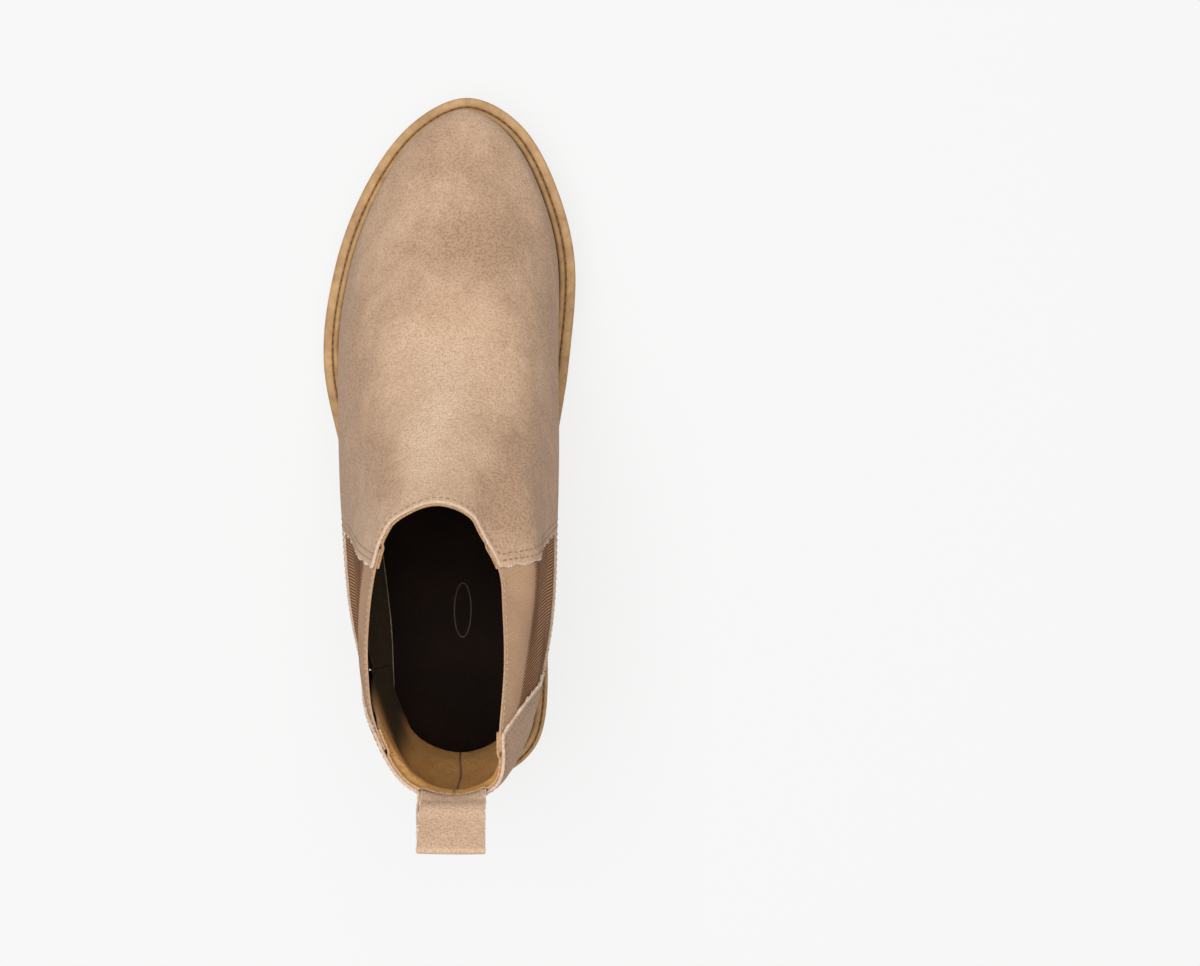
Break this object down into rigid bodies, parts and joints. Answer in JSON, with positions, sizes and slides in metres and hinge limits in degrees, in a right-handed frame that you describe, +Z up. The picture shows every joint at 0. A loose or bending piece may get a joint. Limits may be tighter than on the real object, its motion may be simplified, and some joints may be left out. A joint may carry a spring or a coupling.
{
  "type": "chelsea boot",
  "caption": "Left ankle boot with suede upper, elastic side gores, rear pull tab, raised-bead welt, lugged platform sole and block heel.",
  "frame": {"origin": "middle of the boot's bounding box in plan, on the ground plane", "axes": "+Z up, +Y towards the heel (toe points to -Y), +X towards the lateral (little-toe) side of this left boot"},
  "size_m": [0.1034, 0.2834, 0.1825],
  "materials": {
    "suede": "brushed suede nap, taupe",
    "lining": "fleecy suede split, tan",
    "elastic": "ribbed elastic webbing, brown",
    "outsole_rubber": "matte gum rubber",
    "welt_rubber": "matte honey-coloured rubber",
    "thread": "waxed thread, golden",
    "cork": "granulated cork",
    "board": "fibre board",
    "sock_leather": "smooth, very dark brown",
    "nail_steel": "plain steel"
  },
  "bodies": {
    "boot": {"outsole": "outsole_rubber", "heel_block": "outsole_rubber", "heel_top_piece": "outsole_rubber", "heel_nail_1": "nail_steel", "heel_nail_2": "nail_steel", "heel_nail_3": "nail_steel", "heel_nail_4": "nail_steel", "heel_nail_5": "nail_steel", "midsole": "welt_rubber", "welt": "welt_rubber", "welt_thread": "thread", "cork_filler": "cork", "shank": "nail_steel", "insole_board": "board", "sock_liner": "sock_leather", "vamp": "suede", "vamp_lining": "lining", "quarter_medial": "suede", "quarter_lateral": "suede", "quarter_lining_medial": "lining", "quarter_lining_lateral": "lining", "gore_medial": "elastic", "gore_lateral": "elastic", "toe_puff": "board", "heel_counter": "board", "pull_tab_root": "suede"},
    "pull_tab": {"pull_tab": "suede"}
  },
  "joints": [
    {"name": "pull_tab_fold", "type": "hinge", "parent": "boot", "child": "pull_tab", "pos_m": [-0.01058, 0.12476, 0.15871], "axis": [1, 0, 0], "range_deg": [-50, 70], "stiffness_Nm_per_rad": 0.012}
  ]
}
